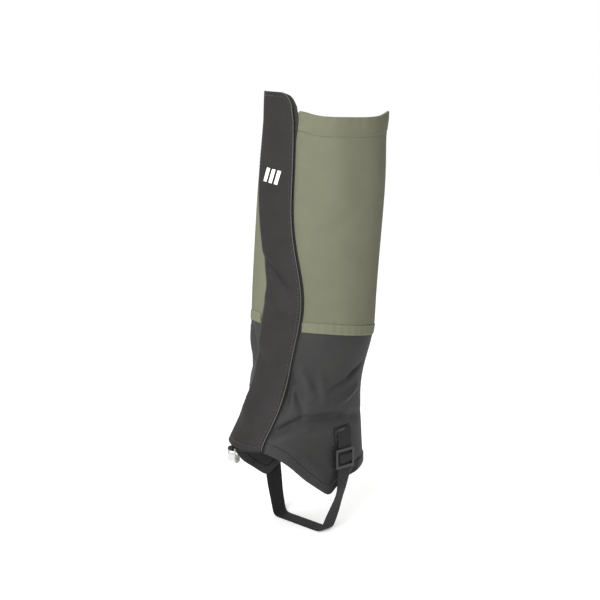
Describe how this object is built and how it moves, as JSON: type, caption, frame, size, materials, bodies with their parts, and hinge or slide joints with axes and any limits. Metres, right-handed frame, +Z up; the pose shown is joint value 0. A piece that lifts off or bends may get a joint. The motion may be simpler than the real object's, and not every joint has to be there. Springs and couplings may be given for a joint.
{
  "type": "gaiter",
  "caption": "Left-leg hiking gaiter with a hook-and-loop front flap, gathered ankle, elastic rim, lace hook and slider-adjusted strap under the boot",
  "frame": {"origin": "on the upper face of the underfoot strap, below the middle of the ankle", "axes": "+Z up the leg, -Y towards the toe, +X towards the outer side of the left leg, where the slider is"},
  "size_m": [0.135, 0.2061, 0.4782],
  "materials": {
    "olive_shell": "woven polyester, matt with a slight sheen",
    "charcoal_cloth": "coated basket-weave polyester",
    "black_tape": "black woven tape",
    "black_webbing": "ribbed polyester webbing",
    "hook_pile": "nylon hook tape",
    "loop_pile": "nylon loop tape",
    "thread": "sewing thread",
    "edge_piping": "pale reflective piping",
    "reflective_ink": "printed reflective ink",
    "moulded_acetal": "moulded, satin",
    "hook_steel": "pressed and tumbled"
  },
  "bodies": {
    "shell": {"upper_shell": "olive_shell", "lower_shell": "charcoal_cloth", "seam_band": "olive_shell", "bottom_hem_tape": "black_tape", "top_casing": "olive_shell", "top_elastic": "black_tape", "ankle_elastic": "black_tape", "front_placket": "black_tape", "loop_tape": "loop_pile", "flap_sewn_side": "charcoal_cloth", "reflective_print": "reflective_ink", "outer_strap_tab": "black_webbing", "inner_strap_tab": "black_webbing", "strap_bartacks": "thread", "placket_bartack": "thread", "hook_tab": "black_webbing"},
    "flap": {"flap_free_side": "charcoal_cloth", "flap_lining": "black_tape", "flap_edge_piping": "edge_piping", "hook_tape": "hook_pile"},
    "strap": {"underfoot_strap": "black_webbing"},
    "slider": {"slider_frame": "moulded_acetal"},
    "hook": {"lace_hook": "hook_steel"}
  },
  "joints": [
    {"name": "flap_open", "type": "hinge", "parent": "shell", "child": "flap", "pos_m": [0.003, -0.0535, 0.47], "axis": [0, -0.161, -0.987], "range_deg": [0, 75]},
    {"name": "strap_swing", "type": "hinge", "parent": "shell", "child": "strap", "pos_m": [0, -0.008, 0.115], "axis": [1, 0, 0], "range_deg": [-9, 14]},
    {"name": "slider_slide", "type": "slide", "parent": "strap", "child": "slider", "axis": [0, 0, 1], "range_m": [-0.012, 0.004]},
    {"name": "hook_swing", "type": "hinge", "parent": "shell", "child": "hook", "pos_m": [-0.02, -0.101, 0.097], "axis": [1, 0, 0], "range_deg": [-45, 40]}
  ]
}
